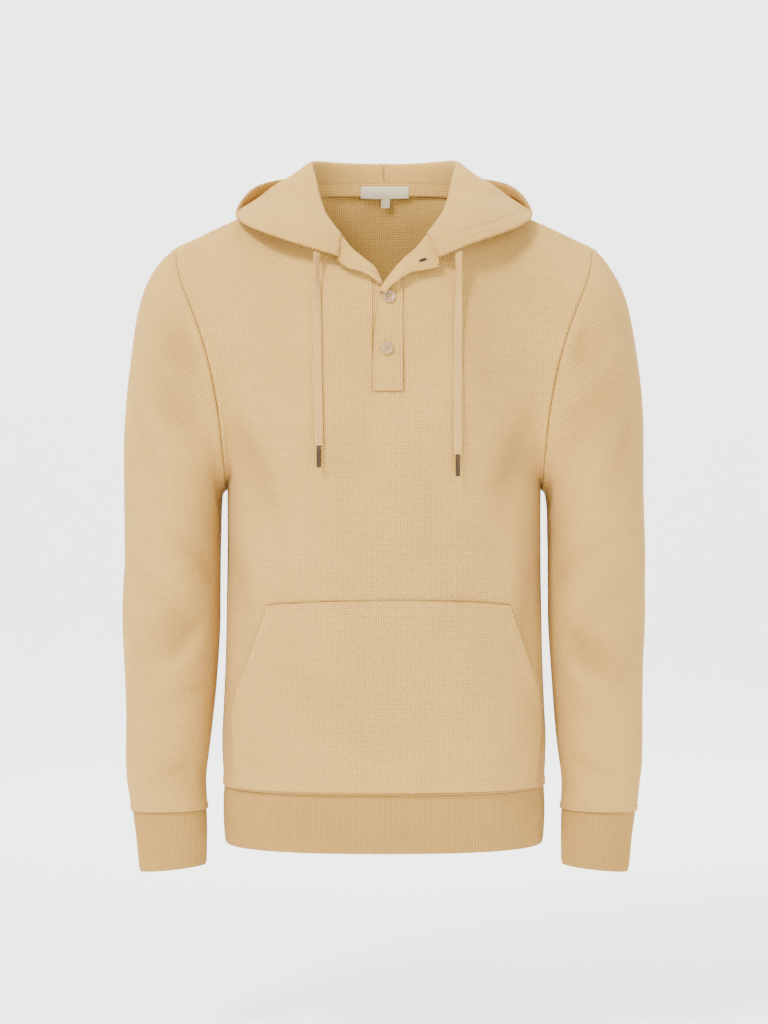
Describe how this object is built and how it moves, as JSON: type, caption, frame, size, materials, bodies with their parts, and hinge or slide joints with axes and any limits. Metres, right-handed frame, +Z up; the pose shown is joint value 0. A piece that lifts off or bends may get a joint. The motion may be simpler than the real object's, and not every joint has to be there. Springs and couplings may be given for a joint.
{
  "type": "half-button hoodie in its worn form",
  "caption": "Waffle-knit pullover hoodie with a half button placket, folded-out facings, hood lying back, flat drawcords, kangaroo pocket and ribbed cuffs and hem, in worn form.",
  "frame": {"origin": "middle of the neck opening, at the height where the wearer's shoulders and neck carry the garment", "axes": "+Z up along the body, -Y out of the garment's front, +X to the side of the placket's buttonhole edge, which is the wearer's left"},
  "size_m": [0.556, 0.2863, 0.7622],
  "materials": {
    "waffle_knit": "matte waffle knit",
    "rib_knit": "matte rib knit",
    "woven_cord": "matte flat woven",
    "label_satin": "satin",
    "pearl_button": "pearl",
    "tip_metal": "dark gunmetal"
  },
  "bodies": {
    "root": {"body_front": "waffle_knit", "body_back": "waffle_knit", "sleeve_left": "waffle_knit", "sleeve_right": "waffle_knit", "hood_left": "waffle_knit", "hood_right": "waffle_knit", "pocket": "waffle_knit", "placket_over": "waffle_knit", "placket_under": "waffle_knit", "facing_left": "waffle_knit", "facing_right": "waffle_knit", "neck_tape": "waffle_knit", "hem_band": "rib_knit", "cuff_left": "rib_knit", "cuff_right": "rib_knit", "neck_label": "label_satin", "size_tab": "label_satin", "button_top": "pearl_button", "button_middle": "pearl_button", "button_low": "pearl_button", "drawcord_left": "woven_cord", "drawcord_right": "woven_cord", "cord_tip_left": "tip_metal", "cord_tip_right": "tip_metal"}
  },
  "joints": []
}
